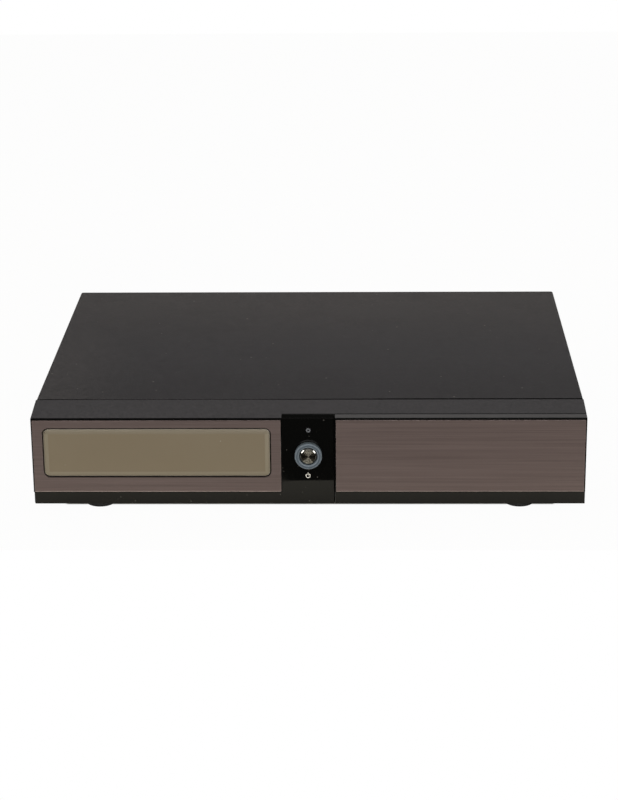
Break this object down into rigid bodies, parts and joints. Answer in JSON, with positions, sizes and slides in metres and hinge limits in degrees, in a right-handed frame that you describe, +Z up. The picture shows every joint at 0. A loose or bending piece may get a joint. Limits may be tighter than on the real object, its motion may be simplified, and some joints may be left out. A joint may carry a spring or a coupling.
{
  "type": "tv decoder box",
  "caption": "Low television decoder with a folded metal cover, a brushed front with a display window, a ringed push button, a drop-down flap over a module bay and a row of rear sockets.",
  "frame": {"origin": "on the table, under the middle of the whole box", "axes": "+X to the right seen from the front, +Y from the front to the rear, +Z up"},
  "size_m": [0.34, 0.2786, 0.066],
  "materials": {
    "cover_paint": "matte fine-textured powder coat",
    "chassis_steel": "galvanised sheet",
    "rear_paint": "satin black paint",
    "black_screws": "blackened steel",
    "zinc_screws": "zinc plate",
    "foot_plastic": "moulded",
    "foot_rubber": "matte",
    "front_moulding": "fine texture",
    "gloss_black": "polished",
    "flap_moulding": "satin with a polished sill",
    "brown_plate": "brushed along its length, brown anodised",
    "window_acrylic": "smoked olive acrylic",
    "ring_plastic": "translucent grey",
    "button_metal": "turned, dished face",
    "white_plastic": "moulded",
    "black_parts": "moulded",
    "lamp_lens": "clear grey",
    "magnet_black": "ferrite",
    "bay_plastic": "fine texture",
    "cage_plastic": "moulded",
    "eject_plastic": "moulded",
    "tin_shell": "tinned",
    "green_board": "solder mask",
    "brown_board": "bare laminate",
    "display_glass": "dark glass",
    "standoff_brass": "turned",
    "heatsink_metal": "extruded",
    "capacitor_sleeve": "shrink sleeve",
    "nut_nickel": "nickel plate",
    "socket_plastic": "moulded",
    "ring_colours": "moulded in several colours",
    "transformer_core": "ferrite and tape",
    "rocker_plastic": "satin",
    "disk_casting": "cast",
    "disk_lid": "pressed",
    "fan_plastic": "moulded",
    "ribbon_grey": "flat cable",
    "sata_red": "flat cable",
    "harness_yellow": "flat loom"
  },
  "bodies": {
    "housing": {"top_cover": "cover_paint", "bottom_chassis": "chassis_steel", "hdd_bracket": "chassis_steel", "rear_panel": "rear_paint", "rear_screws": "black_screws", "foot_screws": "zinc_screws", "frame_screws": "zinc_screws", "board_screws": "zinc_screws", "hinge_pins": "zinc_screws", "feet": "foot_plastic", "foot_pads": "foot_rubber", "front_frame": "front_moulding", "gloss_fascia": "gloss_black", "display_plate": "brown_plate", "display_window": "window_acrylic", "light_ring": "ring_plastic", "front_board_parts": "black_parts", "board_chips": "black_parts", "status_lens": "lamp_lens", "catch_magnet": "magnet_black", "bay_fascia": "bay_plastic", "ci_cage": "cage_plastic", "usb_socket": "tin_shell", "hdmi_socket": "tin_shell", "ethernet_jack": "tin_shell", "tuner_1": "tin_shell", "tuner_2": "tin_shell", "front_board": "green_board", "main_board": "green_board", "power_board": "brown_board", "vfd_display": "display_glass", "main_standoffs": "standoff_brass", "cpu_heatsink": "heatsink_metal", "power_heatsink": "heatsink_metal", "board_capacitors": "capacitor_sleeve", "power_capacitors": "capacitor_sleeve", "f_nuts": "nut_nickel", "rca_barrels": "nut_nickel", "scart_block": "socket_plastic", "rca_block": "socket_plastic", "mains_inlet": "socket_plastic", "mains_switch": "socket_plastic", "rca_rings": "ring_colours", "transformer": "transformer_core", "hard_disk": "disk_casting", "hdd_cover": "disk_lid", "fan_frame": "fan_plastic", "front_ribbon": "ribbon_grey", "sata_cable": "sata_red", "power_harness": "harness_yellow"},
    "flap": {"flap_panel": "flap_moulding", "flap_plate": "brown_plate", "flap_strike": "zinc_screws"},
    "power_button": {"power_button": "button_metal", "button_plunger": "white_plastic", "switch_actuator": "black_parts"},
    "eject_rod_lower": {"ci_ejector_lower": "eject_plastic"},
    "eject_rod_upper": {"ci_ejector_upper": "eject_plastic"},
    "mains_rocker": {"switch_rocker": "rocker_plastic"},
    "fan": {"fan_rotor": "fan_plastic"}
  },
  "joints": [
    {"name": "flap_hinge", "type": "hinge", "parent": "housing", "child": "flap", "pos_m": [0.0932, -0.1304, 0.0105], "axis": [1, 0, 0], "range_deg": [0, 90]},
    {"name": "button_press", "type": "slide", "parent": "housing", "child": "power_button", "axis": [0, 1, 0], "range_m": [0, 0.001], "stiffness_N_per_m": 1500},
    {"name": "eject_lower", "type": "slide", "parent": "housing", "child": "eject_rod_lower", "axis": [0, 1, 0], "range_m": [0, 0.004]},
    {"name": "eject_upper", "type": "slide", "parent": "housing", "child": "eject_rod_upper", "axis": [0, 1, 0], "range_m": [0, 0.004]},
    {"name": "rocker_tilt", "type": "hinge", "parent": "housing", "child": "mains_rocker", "pos_m": [-0.112, 0.1278, 0.0274], "axis": [1, 0, 0], "range_deg": [-16, 0]},
    {"name": "fan_spin", "type": "hinge", "parent": "housing", "child": "fan", "pos_m": [-0.035, 0.1225, 0.034], "axis": [0, 1, 0], "continuous": true}
  ]
}
